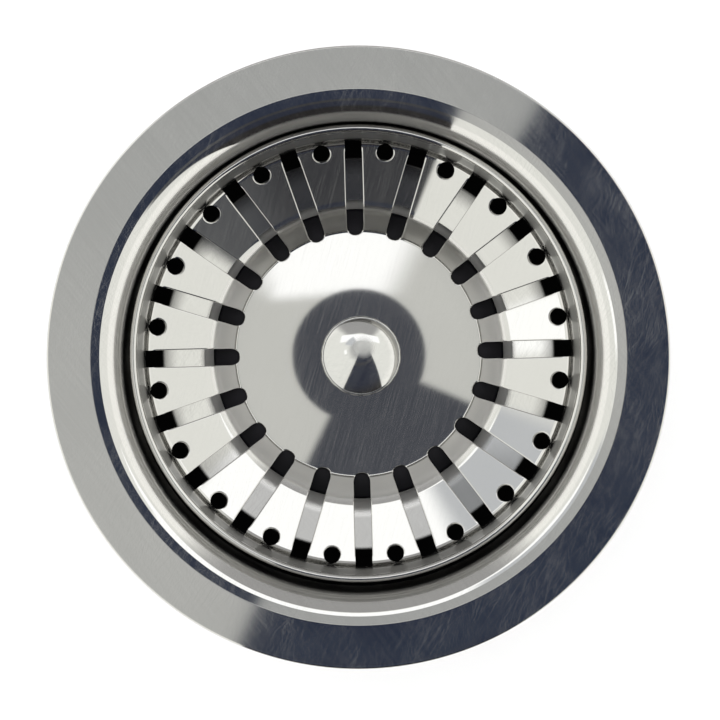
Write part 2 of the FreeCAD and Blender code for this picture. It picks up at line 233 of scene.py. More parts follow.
class Skin:
    """Faces gathered for one mesh, each corner with its own normal."""

    def __init__(self):
        self.points, self.normals, self.faces, self.count = [], [], [], 0

    def grid(self, points, normals):
        """Adds a grid of points, with faces turned so that they look along the normals."""
        rows, columns = points.shape[:2]
        faces = quads_of_grid(rows, columns)
        flat, towards = points.reshape(-1, 3), normals.reshape(-1, 3)
        a, b, c, d = (flat[faces[:, k]] for k in range(4))
        facing = np.einsum("ij,ij->i", np.cross(c - a, d - b), towards[faces].mean(1))
        if np.sum(facing) < 0:
            faces = faces[:, ::-1]
        self.add(flat, towards, faces)

    def add(self, points, normals, faces):
        """Adds points, their normals and faces that count from the first of these points."""
        self.points.append(points)
        self.normals.append(normals)
        self.faces.append(faces + self.count)
        self.count += len(points)

    def triangles_of(self, node, wanted):
        """Adds the triangles of a solid's own mesh for which wanted, called with their corners in
        millimetres, is true."""
        mesh = nodes[node].data
        mesh.calc_loop_triangles()
        place = in_threes(mesh.vertices, "co", np.float32)
        corners = place[in_threes(mesh.loop_triangles, "vertices", np.int32)].astype(float)
        own = in_threes(mesh.corner_normals, "vector", np.float32)
        own = own[in_threes(mesh.loop_triangles, "loops", np.int32)].astype(float)
        chosen = wanted(corners / MM)
        kept, directions = corners[chosen], own[chosen]
        faces = np.arange(len(kept) * 3).reshape(-1, 3)
        self.add(kept.reshape(-1, 3) / MM, directions.reshape(-1, 3), np.hstack([faces, faces[:, 2:]]))
        return len(kept)

    def make(self, name):
        """Joins equal points, drops faces with no area and makes the object, in metres."""
        points = np.vstack(self.points) * MM
        normals = np.vstack(self.normals)
        faces = np.vstack(self.faces)
        first, number = np.unique(np.round(points / WELD).astype(np.int64), axis=0,
                                  return_index=True, return_inverse=True)[1:]
        joined = number.reshape(-1)[faces]
        same_next = joined == np.roll(joined, -1, axis=1)
        quads = ~same_next.any(1)
        three = same_next.sum(1) == 1
        keep = ~same_next[three]
        loops = np.concatenate([joined[quads].reshape(-1), joined[three][keep]])
        directions = np.vstack([normals[faces[quads]].reshape(-1, 3), normals[faces[three]][keep]])
        lengths = np.repeat([4, 3], [quads.sum(), three.sum()])
        mesh = bpy.data.meshes.new(name)
        mesh.vertices.add(len(first))
        mesh.vertices.foreach_set("co", points[first].astype(np.float32).reshape(-1))
        mesh.loops.add(len(loops))
        mesh.loops.foreach_set("vertex_index", loops.astype(np.int32))
        mesh.polygons.add(len(lengths))
        mesh.polygons.foreach_set("loop_start", running(lengths)[:-1].astype(np.int32))
        mesh.polygons.foreach_set("use_smooth", np.ones(len(lengths), bool))
        mesh.update(calc_edges=True)
        mesh.validate()
        mesh.normals_split_custom_set(directions[:len(mesh.loops)])
        piece = bpy.data.objects.new(name, mesh)
        bpy.context.scene.collection.objects.link(piece)
        print(name, len(mesh.vertices), "points", len(mesh.polygons), "faces")
        return piece


def turned_points(section, angles):
    """Points of a turned surface: (r cos a, r sin a, z), with normals (n cos a, n sin a, m). Section rows
    are r, z, n, m; angles has one row for each section row."""
    cos, sin = np.cos(angles), np.sin(angles)
    r, z, n, m = (section[:, k][:, None] for k in range(4))
    points = np.stack([r * cos, r * sin, z + 0 * cos], -1)
    normals = np.stack([n * cos, n * sin, m + 0 * cos], -1)
    return points, normals


def under_side(section, thickness):
    """The other face of a sheet: each point moved back along its normal by the thickness."""
    other = section.copy()
    other[:, :2] -= section[:, 2:] * thickness
    other[:, 2:] *= -1
    return other


def edge_wall(skin, upper, lower):
    """Narrow wall between two matching rows of points, with flat normals."""
    along = np.gradient(upper, axis=0)
    wall = np.cross(along, lower - upper)
    size = np.linalg.norm(wall, axis=1)[:, None]
    wall = np.where(size > ZERO, wall / np.maximum(size, ZERO), 0)
    skin.grid(np.stack([upper, lower]), np.stack([wall, wall]))


def whole_turn(steps):
    """Angles of a whole turn in equal steps, with the first angle again at the end."""
    return np.radians(np.linspace(0, 360, steps + 1))


def level_between(corners, low, high):
    """True for corners whose height lies between two heights, with a little play."""
    return (corners[..., 2] > low - PLAY) & (corners[..., 2] < high + PLAY)


print("skins ready, with", [name for name in vars(Skin) if not name.startswith("_")])

# %% [markdown]
# ## Flange and bowl
#
# The bowl is drawn from one sheet of stainless steel. Its upper face starts at the turned-down lip, crosses
# the drooping flange, rolls over into the throat and runs down the wall to the floor, the seat and the sump.
# The floor of the sump is pierced, and its flat faces are taken over from the solid as they are.

# %% flange and bowl
bowl_path = bent_path(bowl_corners)
bowl_section = read_path(bowl_path, distances_by_turn(bowl_path, turn_step=3.0, run_step=2.5))
around = whole_turn(BOWL_COLUMNS)
skin = Skin()
lip = []
for section in (bowl_section, under_side(bowl_section, BOWL_SHEET)):
    points, normals = turned_points(section, np.tile(around, (len(section), 1)))
    skin.grid(points, normals)
    lip.append(points[0])
skin.grid(np.stack(lip), np.tile([0.0, 0.0, -1.0], (2, len(around), 1)))


def in_sump_floor(corners):
    """True for triangles of the sump's flat floor."""
    radius = np.hypot(corners[..., 0], corners[..., 1])
    return ((radius < SUMP_FLOOR + 10 * PLAY) & level_between(corners, HUB - BOWL_SHEET, HUB)).all(1)


floor_count = skin.triangles_of("waste_bowl", in_sump_floor)
bowl = skin.make("bowl_skin")
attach(bowl, "waste")
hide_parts("waste_bowl")
print("floor triangles kept", floor_count)

# %% [markdown]
# ## Basket
#
# The basket is pressed from thinner sheet. A hemmed rim stands above a tall wall, a slotted shelf slopes down
# from the foot of the wall, and a well drops from the shelf to a slightly crowned disc. Slots and holes are
# punched straight through. Between the middle of a slot and the middle of the next hole lies half a fin, so
# the skin is one such strip, with one side following the edge of the slot and the other the edge of the hole,
# repeated round the axis and mirrored.

# %% rows of the basket
PAST_RIM, UP_WALL, BASKET_ROW_GAP = 60, 120, 0.004
SLOT_STRAIGHT, SLOT_RISE = 0.7, 1.5
ROLL_COLUMNS = np.array([0, 6, 14, 24]) / 24
basket_path = bent_path(basket_corners)
basket_along = running(step_lengths(basket_path))
inner = slice(int(np.argmax(basket_path[:, 1] > RIM_TOP - 0.001)) + PAST_RIM, None)


def distance_at_radius(radius):
    """Distance along the basket's path, inside the rim, where it has a given radius."""
    return np.interp(-np.asarray(radius), -basket_path[inner, 0], basket_along[inner])


slot_centre = SLOT_INNER + SLOT_WIDTH / 2
slot_low, slot_top = WALL_FOOT + SLOT_STRAIGHT, WALL_FOOT + SLOT_RISE
slot_round = slot_top - slot_low
half_turn = np.cos(np.radians(np.linspace(0, 180, 17)))
slot_turn = np.sin(np.radians(np.linspace(0, 90, 10)))
top_turn = np.sin(np.radians(np.linspace(0, 90, 7)))
past_hole = np.cos(np.radians([15, 25, 35]))
edge_steps = ROLL_COLUMNS * EDGE_ROLL
rows = np.concatenate([
    distances_by_turn(basket_path, turn_step=5.0, run_step=2.2),
    distance_at_radius(HOLE_RING + HOLE * half_turn),
    distance_at_radius(HOLE_RING - HOLE - edge_steps),
    distance_at_radius(HOLE_RING - (HOLE + EDGE_ROLL) * past_hole),
    distance_at_radius(slot_centre - SLOT_WIDTH / 2 * slot_turn),
    distance_at_radius(SLOT_INNER - edge_steps),
    np.interp(slot_low + slot_round * top_turn,
              basket_path[inner, 1][:UP_WALL][::-1], basket_along[inner][:UP_WALL][::-1]),
])
basket_section = read_path(basket_path, spread(rows, BASKET_ROW_GAP))
print("rows of the basket", len(basket_section))

# %% [markdown]
# The edges of slots and holes are angles at every row. Columns close to an edge follow it, so that the small
# roll that the punch leaves there keeps its width all round.

# %% slots, holes and their edges
HALF_PITCH = math.pi / SLOTS
BETWEEN = np.array([0.33, 0.67])
SHELF_EDGE = 0.2


def slot_half_angle(section, margin=0.0):
    """Half the angle of the slot and a margin at each row: half the width over the radius, closing round at
    both ends."""
    r, z = section[:, 0], section[:, 1]
    half = SLOT_WIDTH / 2 + margin
    inner_end = np.sqrt(np.clip(half ** 2 - np.clip(slot_centre - r, 0, None) ** 2, 0, None))
    rise = np.clip((z - slot_low) / slot_round, 0, 1)
    return np.arcsin(np.clip(inner_end * np.sqrt(1 - rise ** 2) / r, 0, 1))


def hole_half_angle(section, margin=0.0):
    """Half the angle of the hole and a margin at each row, from the triangle of radius, ring radius and
    hole radius."""
    r, z = section[:, 0], section[:, 1]
    share = (r ** 2 + HOLE_RING ** 2 - (HOLE + margin) ** 2) / (2 * r * HOLE_RING)
    return np.where(z < slot_top, np.arccos(np.clip(share, -1, 1)), 0)


def strip_angles(section):
    """Angles across half a fin, from the edge of the slot to the edge of the hole. Near both edges the
    columns keep their distance from the edge, also round the ends of slots and holes."""
    slot_side = np.stack([slot_half_angle(section, step) for step in edge_steps], 1)
    hole_side = HALF_PITCH - np.stack([hole_half_angle(section, step) for step in edge_steps[::-1]], 1)
    start, end = slot_side[:, -1:], hole_side[:, :1]
    return np.hstack([slot_side, start + (end - start) * BETWEEN, hole_side])


def rolled_edges(section, points, normals):
    """The punch draws the face down at its edge. At a distance d from the edge the drop is the depth times
    the square of one less d over the width of the roll; the normal leans towards the edge by the slope of
    that."""
    x, y = points[..., 0], points[..., 1]
    hole_x, hole_y = x - HOLE_RING * math.cos(HALF_PITCH), y - HOLE_RING * math.sin(HALF_PITCH)
    end_x = np.minimum(x - slot_centre, 0)
    to_slot, to_hole = np.hypot(end_x, y), np.hypot(hole_x, hole_y)
    slot_nearer = (to_slot - SLOT_WIDTH / 2 < to_hole - HOLE)
    size = np.where(slot_nearer, to_slot, to_hole)
    away = np.stack([np.where(slot_nearer, end_x, hole_x), np.where(slot_nearer, y, hole_y), 0 * x], -1)
    away /= np.maximum(size, ZERO)[..., None]
    distance = size - np.where(slot_nearer, SLOT_WIDTH / 2, HOLE)
    on_shelf = np.clip((WALL_FOOT - SHELF_EDGE - section[:, 1]) / SHELF_EDGE, 0, 1)[:, None]
    left = np.clip(1 - distance / EDGE_ROLL, 0, 1) * on_shelf
    points = points - normals * (EDGE_DROP * left ** 2)[..., None]
    leaning = normals - away * (2 * EDGE_DROP / EDGE_ROLL * left)[..., None]
    return points, leaning / np.linalg.norm(leaning, axis=-1)[..., None]


def spun(vectors, angle, hand):
    """Vectors mirrored across the plane of the slot where hand is -1, then turned round the axis by an
    angle."""
    x, y = vectors[..., 0], vectors[..., 1] * hand
    cos, sin = math.cos(angle), math.sin(angle)
    return np.stack([x * cos - y * sin, x * sin + y * cos, vectors[..., 2]], -1)


print("columns of a strip", strip_angles(basket_section).shape[1])

# %% [markdown]
# One strip has an upper and a lower face, a hem end, an end at the hole for the stem, and narrow walls along
# its slot and its hole. The lower face takes the heights of the upper one where the slots end in the wall,
# so both faces end in the same row.

# %% basket
skin = Skin()
upper, lower = basket_section, under_side(basket_section, BASKET_SHEET)
lower_cut = np.column_stack([lower[:, 0], upper[:, 1]])
strip_top, strip_top_normals = rolled_edges(upper, *turned_points(upper, strip_angles(upper)))
strip_below, strip_below_normals = turned_points(lower, strip_angles(lower_cut))
hem_end = np.tile([0.0, 0.0, -1.0], (strip_top.shape[1], 1))
hole_end = strip_top[-1] * np.array([-1, -1, 0]) / basket_section[-1, 0]
for fin in range(SLOTS):
    base = math.radians(SLOT_START + fin * 360 / SLOTS)
    for mirror in (1, -1):
        top, below = spun(strip_top, base, mirror), spun(strip_below, base, mirror)
        skin.grid(top, spun(strip_top_normals, base, mirror))
        skin.grid(below, spun(strip_below_normals, base, mirror))
        for row, normal in ((0, hem_end), (-1, hole_end)):
            skin.grid(np.stack([top[row], below[row]]), np.tile(spun(normal, base, mirror), (2, 1, 1)))
        for column, half_angle, hand in ((0, slot_half_angle, mirror), (-1, hole_half_angle, -mirror)):
            cut = np.flatnonzero(np.maximum(half_angle(upper), half_angle(lower_cut)) > TINY)
            cut = np.arange(max(cut[0] - 1, 0), min(cut[-1] + 2, len(upper)))[::hand]
            edge_wall(skin, top[cut, column], below[cut, column])
skin.points = [p + np.array([0, BASKET_LEAN, 0]) for p in skin.points]
basket = skin.make("basket_skin")
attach(basket, "basket_set")
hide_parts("basket")

# %% [markdown]
# ## Knob
#
# The knob is turned from bar. A foot stands on the disc, a neck rises to a rounded head, and a fine step
# runs round the head under its dome. Polishing by hand has moved the crest of the dome off the middle, and
# the knob leans a little on its stem. The dome is a stack of circles, each with its own centre, so its
# normal follows from the two tangents of that stack.

# %% knob
KNOB_BORE, KNOB_BASE, KNOB_NECK, KNOB_HEAD = 2.6, 6.2, 4.0, 7.5
BASE_HEIGHT, NECK_HEIGHT, HEAD_FLARE, HEAD_HEIGHT = 1.6, 10.2, 1.2, 2.4
STEP_EDGE, STEP_SINK, STEP_RISE = 7.06, 0.02, 0.15
DOME_EDGE, DOME_RADIUS = 7.0, 15.0
KNOB_LEAN = np.array([0.038, -0.036])
CREST = np.array([0.5, 0.9])
knob_foot = disc_top
base_top, head_foot = knob_foot + BASE_HEIGHT, knob_foot + NECK_HEIGHT
ring_top = head_foot + HEAD_HEIGHT
dome_foot = ring_top + STEP_RISE
knob_corners = [
    (KNOB_BORE, knob_foot, 0),
    (KNOB_BASE, knob_foot, 0.05),
    (KNOB_BASE, base_top, 0.35),
    (KNOB_NECK, base_top, 0.8),
    (KNOB_NECK, head_foot, 1.6),
    (KNOB_HEAD, head_foot + HEAD_FLARE, 0.35),
    (KNOB_HEAD, ring_top, 0.35),
    (STEP_EDGE, ring_top - STEP_SINK, 0.05),
    (DOME_EDGE, dome_foot, 0),
]
knob_path = bent_path(knob_corners, turn_step=4.0, run_step=0.5)
knob_section = read_path(knob_path, distances_by_turn(knob_path, turn_step=8.0, run_step=1.5))
around = whole_turn(KNOB_COLUMNS)
skin = Skin()
stalk, stalk_normals = turned_points(knob_section, np.tile(around, (len(knob_section), 1)))
skin.grid(stalk, stalk_normals)


def dome(radius, angles):
    """Circles of shrinking radius r on a sphere of radius R: height is sqrt(R^2 - r^2), and each circle's
    centre is moved by the crest times (1 - (r / edge)^2). With slope s = dh/dr and centre slope c the
    normal is (-s cos a, -s sin a, 1 + c . (cos a, sin a))."""
    r, a = radius[:, None], angles[None]
    cos, sin = np.cos(a), np.sin(a)
    height = np.sqrt(DOME_RADIUS ** 2 - r ** 2)
    slope = -r / height
    share = 1 - (r / DOME_EDGE) ** 2
    level = dome_foot - math.sqrt(DOME_RADIUS ** 2 - DOME_EDGE ** 2)
    points = np.stack([r * cos + CREST[0] * share, r * sin + CREST[1] * share, level + height + 0 * cos], -1)
    drift = -2 * r / DOME_EDGE ** 2
    normals = np.stack([-slope * cos, -slope * sin, 1 + drift * (CREST[0] * cos + CREST[1] * sin)], -1)
    return points, normals / np.linalg.norm(normals, axis=-1)[..., None]


cap, cap_normals = dome(DOME_EDGE * np.sin(np.radians(np.linspace(90, 0, DOME_ROWS))), around)
skin.grid(cap, cap_normals)
for part in skin.points:
    rise = part[:, 2:] - knob_foot
    part[:, :2] += rise * KNOB_LEAN + np.array([0, BASKET_LEAN])
    part[:, 2] -= part[:, :2] @ KNOB_LEAN
for part in skin.normals:
    part[:, :2] += part[:, 2:] * KNOB_LEAN
knob = skin.make("knob_skin")
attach(knob, "basket_set")
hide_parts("knob")

# %% [markdown]
# ## Outlet thread
#
# The collar of the outlet carries a pipe thread for the nut of the trap. The solid has a plain collar at the
# outside of the thread, so its faces are left out here and a helical surface is put in their place. The
# thread runs out to the full radius at both ends, where it meets the faces that are kept.

# %% outlet thread
COLLAR, COLLAR_LOW, COLLAR_HIGH = 23.9, 1.2, 18.0
THREAD_PITCH, THREAD_DEPTH, RUN_OUT, NARROW = 2.309, 1.25, 1.6, 1.4


def on_collar(corners):
    """True for triangles that lie on the plain collar."""
    radius = np.hypot(corners[..., 0], corners[..., 1])
    return ((np.abs(radius - COLLAR) < 2 * PLAY) & level_between(corners, COLLAR_LOW, COLLAR_HIGH)).all(1)


def thread(heights, angles):
    """Radius of the thread: the collar's radius less the depth times a rounded valley. The valley is a
    cosine of the turns, height over pitch less angle, raised to a power for narrow valleys, and fades in
    from both ends."""
    turns = 2 * math.pi * heights[:, None] / THREAD_PITCH - angles[None]
    valley = (0.5 - 0.5 * np.cos(turns)) ** NARROW
    ends = np.minimum(heights - heights[0], heights[-1] - heights) / RUN_OUT
    fade = np.clip(ends, 0, 1)[:, None]
    return COLLAR - THREAD_DEPTH * valley * fade * fade * (3 - 2 * fade)


skin = Skin()
kept = skin.triangles_of("outlet_body", lambda corners: ~on_collar(corners))
heights = np.linspace(COLLAR_LOW, COLLAR_HIGH, THREAD_ROWS)
around = whole_turn(THREAD_COLUMNS)
radius = thread(heights, around)
cos, sin = np.cos(around)[None], np.sin(around)[None]
rise = np.gradient(radius, heights, axis=0)
swerve = np.gradient(radius, around, axis=1) / radius
helix = np.stack([radius * cos, radius * sin, heights[:, None] + 0 * radius], -1)
outwards = np.stack([cos + swerve * sin, sin - swerve * cos, -rise], -1)
skin.grid(helix, outwards / np.linalg.norm(outwards, axis=-1)[..., None])
outlet = skin.make("outlet_skin")
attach(outlet, "waste")
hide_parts("outlet_body")
print("outlet triangles kept", kept, "of", len(nodes["outlet_body"].data.loop_triangles))

# %% [markdown]
# ## Shader sums
#
# A wire carries a number, a vector or a colour through the nodes of a material. Sums on wires add the nodes
# for them, so a pattern can be written as a formula.

# %% wires
class Wire:
    """An output socket in a node tree, with arithmetic."""

    def __init__(self, tree, socket):
        self.tree, self.socket = tree, socket

    def make(self, kind, settings=None, inputs=None, output=0):
        """A new node of a kind, its settings and its inputs, which may be wires or plain values."""
        node = self.tree.nodes.new(kind)
        for key, value in (settings or {}).items():
            setattr(node, key, value)
        for key, value in (inputs or {}).items():
            if isinstance(value, Wire):
                self.tree.links.new(value.socket, node.inputs[key])
            else:
                node.inputs[key].default_value = value
        return Wire(self.tree, node.outputs[output])

    def sum_with(self, operation, other):
        """This wire, then the other wire or number, in one sum."""
        return self.make("ShaderNodeMath", {"operation": operation}, {0: self, 1: other})

    def swapped(self, operation, other):
        """The other wire or number, then this wire, in one sum."""
        return self.make("ShaderNodeMath", {"operation": operation}, {0: other, 1: self})

    def __add__(self, other):
        return self.sum_with("ADD", other)

    def __radd__(self, other):
        return self.swapped("ADD", other)

    def __sub__(self, other):
        return self.sum_with("SUBTRACT", other)

    def __rsub__(self, other):
        return self.swapped("SUBTRACT", other)

    def __mul__(self, other):
        return self.sum_with("MULTIPLY", other)

    def __truediv__(self, other):
        return self.sum_with("DIVIDE", other)

    def __pow__(self, other):
        return self.sum_with("POWER", other)

    def most(self, other):
        """The larger of two numbers."""
        return self.sum_with("MAXIMUM", other)

    def step(self, low, high):
        """0 below low, 1 above high and a smooth rise between."""
        return self.make("ShaderNodeMapRange", {"interpolation_type": "SMOOTHSTEP"},
                         {"Value": self, "From Min": low, "From Max": high})

    def fall(self, low, high):
        """1 below low, 0 above high and a smooth fall between."""
        return 1 - self.step(low, high)

    def parts(self):
        """The three parts of a vector."""
        node = self.make("ShaderNodeSeparateXYZ", None, {0: self}).socket.node
        return [Wire(self.tree, node.outputs[k]) for k in range(3)]

    def noise(self, scale, detail=2.0, roughness=0.5):
        """Soft noise between 0 and 1, at this position."""
        return self.make("ShaderNodeTexNoise", None,
                         {"Vector": self, "Scale": scale, "Detail": detail, "Roughness": roughness})

    def mix(self, low, high):
        """Colour between two colours, by this number."""
        node = self.make("ShaderNodeMix", {"data_type": "RGBA"}, {0: self}).socket.node
        for socket, value in ((node.inputs[6], low), (node.inputs[7], high)):
            if isinstance(value, Wire):
                self.tree.links.new(value.socket, socket)
            else:
                socket.default_value = (*value, 1)
        return Wire(self.tree, node.outputs[2])


def vector(x, y, z):
    """A vector from three wires."""
    return x.make("ShaderNodeCombineXYZ", None, {0: x, 1: y, 2: z})


def reach(x, y):
    """Distance from the axis: the root of the sum of two squares."""
    return (x * x + y * y) ** 0.5


print("sums ready:", [name for name in vars(Wire) if not name.startswith("_")])

# %% [markdown]
# A material starts with its shader and the position on the object, and ends on one or more pieces. Two
# shaders can be blended by a wire.

# %% materials
def new_material(name):
    """An empty material, its shader and a wire with the position on the object, in metres."""
    material = bpy.data.materials.new(name)
    material.use_nodes = True
    tree = material.node_tree
    shader = tree.nodes["Principled BSDF"]
    place = tree.nodes.new("ShaderNodeTexCoord")
    return material, shader, Wire(tree, place.outputs["Object"])


def feed(shader, **wires):
    """Links wires to the shader's inputs, named with _ for a space."""
    for key, wire in wires.items():
        wire.tree.links.new(wire.socket, shader.inputs[key.replace("_", " ")])


def put_on(material, *objects):
    """Gives objects a material as their only one."""
    for thing in objects:
        thing.data.materials.clear()
        thing.data.materials.append(material)
    print(material.name, "on", [thing.name for thing in objects])


def blend(share, first, second):
    """Socket of a shader between two others: the first where share is 0 and the second where it is 1."""
    node = share.make("ShaderNodeMixShader", None, {0: share}).socket.node
    share.tree.links.new(first, node.inputs[1])
    share.tree.links.new(second, node.inputs[2])
    return node.outputs[0]


def coat(paint, rough):
    """A dull shader laid over the metal, for painted shade or painted light."""
    shader = paint.tree.nodes.new("ShaderNodeBsdfPrincipled")
    feed(shader, Base_Color=paint)
    shader.inputs["Roughness"].default_value = rough
    return shader


print("materials so far", len(bpy.data.materials))

# %% [markdown]
# ## Steel
#
# The sheet was ground in one direction before it was pressed, so a fine straight grain crosses the whole
# piece, whatever its shape. On top lie short scratches from handling. Between them the steel is a sharp
# mirror; on them it scatters light, so a rough shader is mixed in there. Some zones are satin all over. Some
# carry painted shade, a near-black matt coat where gaps and corners lie in shade, and some painted light, a
# light matt coat where the steel should look bright.

# %% steel
CLOUDS = 60.0
GRAIN_LENGTH, GRAIN_WIDTH = 0.012, 0.00011
SCRATCH_WIDTH = 0.00012
SCRATCHES = ((-82, 0.0042), (-55, 0.0050), (-30, 0.0036))
SATIN_ROUGHNESS = 0.36
# Painted shade is a near-black matt coat put where gaps and corners lie in shade; painted light is a light
# matt coat put where the steel should look bright.
PAINTED_SHADE_DEEP, PAINTED_SHADE_PALE = (0.002, 0.002, 0.002), (0.006, 0.006, 0.006)
PAINTED_LIGHT_DIM, PAINTED_LIGHT_BRIGHT = (0.80, 0.79, 0.76), (0.92, 0.91, 0.88)


def steel(name, colour, dull, haze, scuffs, grain_angle, zones=None):
    """Polished steel: a sharp mirror mixed with the haze of a straight grain and of scattered scuffs.
    Zones, if given, is called with the position and tells where painted shade (a near-black matt coat), a
    satin finish and painted light (a light matt coat) lie."""
    material, mirror, place = new_material(name)
    tree = material.node_tree
    x, y, z = place.parts()

    def streaks(angle, length, width, detail):
        """Noise drawn out along an angle, with streaks of about the given length and width."""
        cos, sin = math.cos(math.radians(angle)), math.sin(math.radians(angle))
        spots = vector((x * cos + y * sin) / length, (y * cos - x * sin) / width, z / length)
        return spots.noise(1.0, detail, 0.6)

    cloud = place.noise(CLOUDS, 3.0)
    grain = streaks(grain_angle, GRAIN_LENGTH, GRAIN_WIDTH, 2.0).step(0.36, 0.66)
    scratch = streaks(grain_angle - 68, 0.0060, SCRATCH_WIDTH, 0.0).step(0.62, 0.76)
    for turn, length in SCRATCHES:
        scratch = scratch.most(streaks(grain_angle + turn, length, SCRATCH_WIDTH, 0.0).step(0.64, 0.76))
    paint = (grain * 0.5 + cloud * 0.5).step(0.2, 0.8).mix(tuple(c * 0.94 for c in colour), colour)
    scuffed = scratch * cloud.step(0.30, 0.60) * scuffs
    share = grain * grain * haze + scuffed + cloud * (haze * 0.15 + scuffs * 0.1)
    dulling = grain * 0.4 + cloud * 0.2
    if zones:
        # The zones give shares of painted shade, satin and painted light; scale is the share of painted
        # light.
        painted_shade, satin, scale = zones(x, y, z)
        share = share.most(satin)
    rough = tree.nodes.new("ShaderNodeBsdfPrincipled")
    for shader, dullness in ((mirror, dull), (rough, SATIN_ROUGHNESS)):
        feed(shader, Base_Color=paint, Roughness=dullness + dulling * dullness)
        shader.inputs["Metallic"].default_value = 1.0
    surface = blend(share, mirror.outputs[0], rough.outputs[0])
    if zones:
        # Painted shade and painted light go over the steel as matt coats.
        shade_coat = coat(cloud.mix(PAINTED_SHADE_DEEP, PAINTED_SHADE_PALE), 0.9)
        shade_coat.inputs["Specular IOR Level"].default_value = 0.0
        painted_light = coat(cloud.mix(PAINTED_LIGHT_DIM, PAINTED_LIGHT_BRIGHT), 0.8)
        surface = blend(scale, blend(painted_shade, surface, shade_coat.outputs[0]), painted_light.outputs[0])
    tree.links.new(surface, tree.nodes["Material Output"].inputs["Surface"])
    print(name, len(tree.nodes), "nodes")
    return material


# %% [markdown]
# Painted shade, satin and painted light lie in rings round the axis and between heights. Each pair below is
# where a ring or a height starts to count and where it counts in full, in metres. The single numbers say how
# much of the surface carries painted shade, satin or painted light there.

# %% zones of the steel
# Painted shade lies in the bowl's corner, up its wall and on its floor; painted light lies in a ring round
# the stopper and at the front of the basket's well.
BOWL_CORNER, BOWL_CORNER_TOP, BOWL_CORNER_FOOT = (0.0370, 0.0379), (0.074, 0.0785), (0.054, 0.058)
FLOOR_TOP, FLOOR_RING = (0.055, 0.060), (0.0345, 0.0388)
FRONT_LINE, FRONT_RING = (-0.026, -0.012), (0.0296, 0.0312)
THROAT_RING, THROAT_BASE = (0.0442, 0.0449), (0.070, 0.074)
LIGHT_RING_START, LIGHT_RING_END = (0.0262, 0.0268), (0.0292, 0.0308)
BASKET_WALL, BASKET_WALL_BASE, BASKET_WALL_TOP = (0.0399, 0.0402), (0.0620, 0.0690), (0.0780, 0.0790)
WELL_START, WELL_END, WELL_FRONT = (0.0236, 0.0239), (0.0262, 0.0288), (0.010, 0.022)
CREST_CENTRE, CREST_RING, CREST_BASE = (1.0, 1.2), (0.0008, 0.0027), (0.060, 0.062)
# How much of each zone carries painted shade, satin or painted light.
WALL_PAINTED_SHADE, FLOOR_PAINTED_SHADE, FRONT_PAINTED_SHADE, BASKET_PAINTED_SHADE = 0.72, 0.75, 0.5, 0.35
THROAT_SATIN, BASKET_SATIN, WELL_SATIN, CREST_SATIN = 0.75, 0.8, 0.85, 0.95
RING_PAINTED_LIGHT, WELL_PAINTED_LIGHT = 0.95, 0.4


def bowl_zones(x, y, z):
    """Painted shade in the corner of the bowl, up its wall and on its floor, stronger at the front; a satin
    finish on the throat; and a ring of painted light on the floor round the stopper."""
    radius = reach(x, y)
    # Painted shade in the corner under the basket's rim and on the floor under the slots, stronger at the
    # front.
    corner = reach(x, y - BASKET_LEAN * MM).step(*BOWL_CORNER) * z.fall(*BOWL_CORNER_TOP)
    low = z.fall(*FLOOR_TOP)
    front = y.fall(*FRONT_LINE) * radius.step(*FRONT_RING) * FRONT_PAINTED_SHADE
    floor = (radius.step(*FLOOR_RING) * FLOOR_PAINTED_SHADE).most(front) * low
    throat = radius.fall(*THROAT_RING) * z.step(*THROAT_BASE)
    # Painted light: a light matt ring on the floor round the stopper, seen through the slots.
    ring = radius.step(*LIGHT_RING_START) * radius.fall(*LIGHT_RING_END) * low
    painted_shade = corner * (WALL_PAINTED_SHADE + z.fall(*BOWL_CORNER_FOOT) * (1 - WALL_PAINTED_SHADE))
    return painted_shade.most(floor), (throat * THROAT_SATIN).most(corner), ring * RING_PAINTED_LIGHT


def basket_zones(x, y, z):
    """The wall of the basket carries painted shade and is satin above its foot. The well is satin from the
    deep drawing, with a thin coat of painted light at the front."""
    radius = reach(x, y - BASKET_LEAN * MM)
    # Painted shade on the basket's wall above its foot.
    wall = radius.step(*BASKET_WALL) * z.step(*BASKET_WALL_BASE) * z.fall(*BASKET_WALL_TOP)
    well = radius.fall(*WELL_END) * radius.step(*WELL_START)
    # Painted light at the front of the well, fading towards the back.
    painted_light = well * y.fall(*WELL_FRONT) * WELL_PAINTED_LIGHT
    return wall * BASKET_PAINTED_SHADE, (wall * BASKET_SATIN).most(well * WELL_SATIN), painted_light


def knob_zones(x, y, z):
    """The crest of the knob is rubbed satin by fingers."""
    across, along = x - CREST_CENTRE[0] * MM, y - (BASKET_LEAN + CREST_CENTRE[1]) * MM
    crest = reach(across, along).fall(*CREST_RING)
    return crest * 0, crest * z.step(*CREST_BASE) * CREST_SATIN, crest * 0


SHEET, BAR, TURNED = (0.62, 0.612, 0.59), (0.64, 0.635, 0.615), (0.58, 0.57, 0.56)
bowl_steel = steel("bowl_steel", SHEET, dull=0.035, haze=0.03, scuffs=0.13, grain_angle=128, zones=bowl_zones)
basket_steel = steel("basket_steel", SHEET, dull=0.022, haze=0.12, scuffs=0.02, grain_angle=74,
                     zones=basket_zones)
knob_steel = steel("knob_steel", BAR, dull=0.05, haze=0.14, scuffs=0.08, grain_angle=66, zones=knob_zones)
turned_steel = steel("turned_steel", TURNED, dull=0.2, haze=0.3, scuffs=0.1, grain_angle=20)
put_on(bowl_steel, bowl)
put_on(basket_steel, basket)
put_on(knob_steel, knob)
put_on(turned_steel, nodes["stem"], nodes["centre_screw"], nodes["seal_plate"], nodes["lock_washer"],
       nodes["stem_nut"])

# %% [markdown]
# ## Rubber, plastic and brass
#
# The seals are moulded black rubber with a fine bloom. The outlet body is white plastic from a lightly
# sparked mould, and the insert is turned brass.

